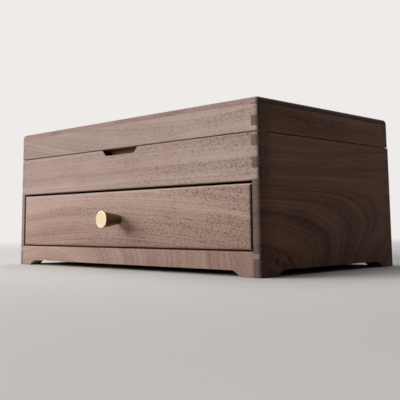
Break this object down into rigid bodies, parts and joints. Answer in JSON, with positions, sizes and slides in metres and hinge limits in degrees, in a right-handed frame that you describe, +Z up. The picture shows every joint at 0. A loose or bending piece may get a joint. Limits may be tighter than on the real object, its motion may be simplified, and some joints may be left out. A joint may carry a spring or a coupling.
{
  "type": "jewelry box with drawer",
  "caption": "Low walnut jewelry box with finger-jointed corners, a hinged lid over a divided tray, and a drawer below with a tapered brass knob.",
  "frame": {"origin": "on the surface that the box stands on, under the middle of the whole object with its knob and hinges", "axes": "+X to the right along the front, +Y from front to back, +Z up"},
  "size_m": [0.3, 0.2002, 0.1246],
  "materials": {
    "walnut": "satin",
    "brass": "brushed",
    "felt": "matte",
    "velvet": "matte"
  },
  "bodies": {
    "case": {"case_back": "walnut", "case_bottom": "walnut", "case_front_lower_rail": "walnut", "case_front_upper_rail": "walnut", "case_side_left": "walnut", "case_side_right": "walnut", "hinge_case_leaf_left": "brass", "hinge_case_leaf_right": "brass", "hinge_case_screws": "brass", "hinge_pins": "brass", "ring_roll_1": "velvet", "ring_roll_2": "velvet", "ring_roll_3": "velvet", "ring_roll_4": "velvet", "ring_roll_5": "velvet", "ring_roll_6": "velvet", "tray_divider_cross": "walnut", "tray_divider_long": "walnut", "tray_divider_ring_bay": "walnut", "tray_floor": "walnut", "tray_lining": "felt"},
    "lid": {"hinge_lid_leaf_left": "brass", "hinge_lid_leaf_right": "brass", "hinge_lid_screws": "brass", "lid_back": "walnut", "lid_front": "walnut", "lid_side_left": "walnut", "lid_side_right": "walnut", "lid_top": "walnut"},
    "drawer": {"drawer_back": "walnut", "drawer_bottom": "walnut", "drawer_divider_1": "walnut", "drawer_divider_2": "walnut", "drawer_front": "walnut", "drawer_lining": "felt", "drawer_side_left": "walnut", "drawer_side_right": "walnut", "knob": "brass", "knob_screw": "brass"}
  },
  "joints": [
    {"name": "lid_hinge", "type": "hinge", "parent": "case", "child": "lid", "pos_m": [0, 0.09659, 0.1], "axis": [-1, 0, 0], "range_deg": [0, 95]},
    {"name": "drawer_slide", "type": "slide", "parent": "case", "child": "drawer", "axis": [0, -1, 0], "range_m": [0, 0.12]}
  ]
}
